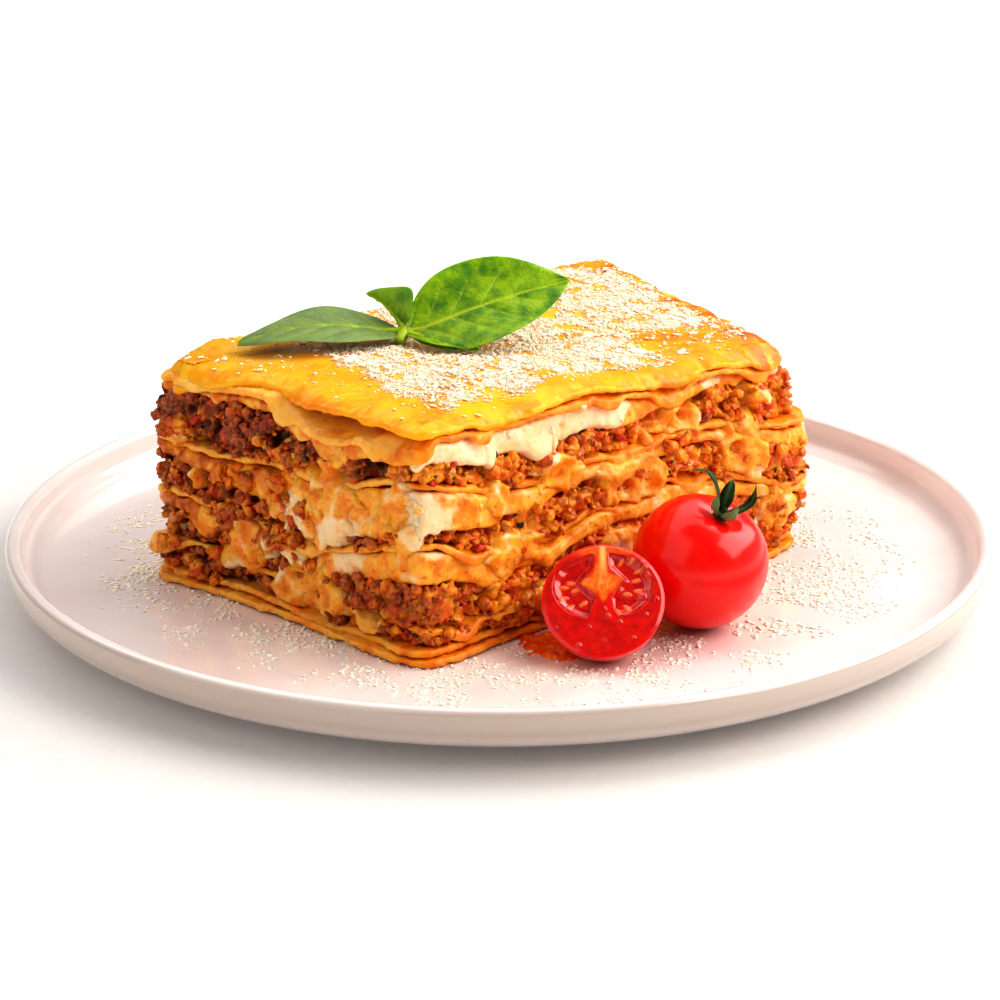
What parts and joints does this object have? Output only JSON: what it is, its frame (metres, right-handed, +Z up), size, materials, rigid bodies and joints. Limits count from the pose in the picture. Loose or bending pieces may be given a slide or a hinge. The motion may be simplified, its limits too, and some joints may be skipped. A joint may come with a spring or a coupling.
{
  "type": "plate of lasagna",
  "caption": "Rimmed round plate with a layered lasagna slice, a basil sprig on top, and a whole and a halved cherry tomato beside it; stands on the plate's foot ring.",
  "frame": {"origin": "centre of the plate's foot ring, on the surface the plate stands on", "axes": "+Z up through the plate's centre; the slice's front corner points towards -Y and its long cut face towards +X -Y"},
  "size_m": [0.24, 0.24, 0.0825],
  "materials": {
    "glazed_plate": "smooth off-white glaze",
    "pasta": "moist, semi-gloss",
    "meat_sauce": "crumbly, moist",
    "white_sauce": "smooth, moist",
    "basil_leaf": "satin leaf",
    "tomato_skin": "glossy wet skin",
    "tomato_calyx": "matte, slightly hairy",
    "tomato_pulp": "wet gel with seeds"
  },
  "bodies": {
    "root": {"plate": "glazed_plate", "pasta_sheet_1": "pasta", "pasta_sheet_2": "pasta", "meat_sauce_1": "meat_sauce", "pasta_sheet_3": "pasta", "meat_sauce_2": "meat_sauce", "bechamel_1": "white_sauce", "pasta_sheet_4": "pasta", "meat_sauce_3": "meat_sauce", "bechamel_2": "white_sauce", "pasta_sheet_5": "pasta", "meat_sauce_4": "meat_sauce", "bechamel_3": "white_sauce", "pasta_sheet_6": "pasta", "pasta_sheet_7": "pasta", "basil_sprig": "basil_leaf", "cherry_tomato": "tomato_skin", "tomato_calyx": "tomato_calyx", "tomato_half": "tomato_skin", "tomato_pulp_left": "tomato_pulp", "tomato_pulp_right": "tomato_pulp"}
  },
  "joints": []
}
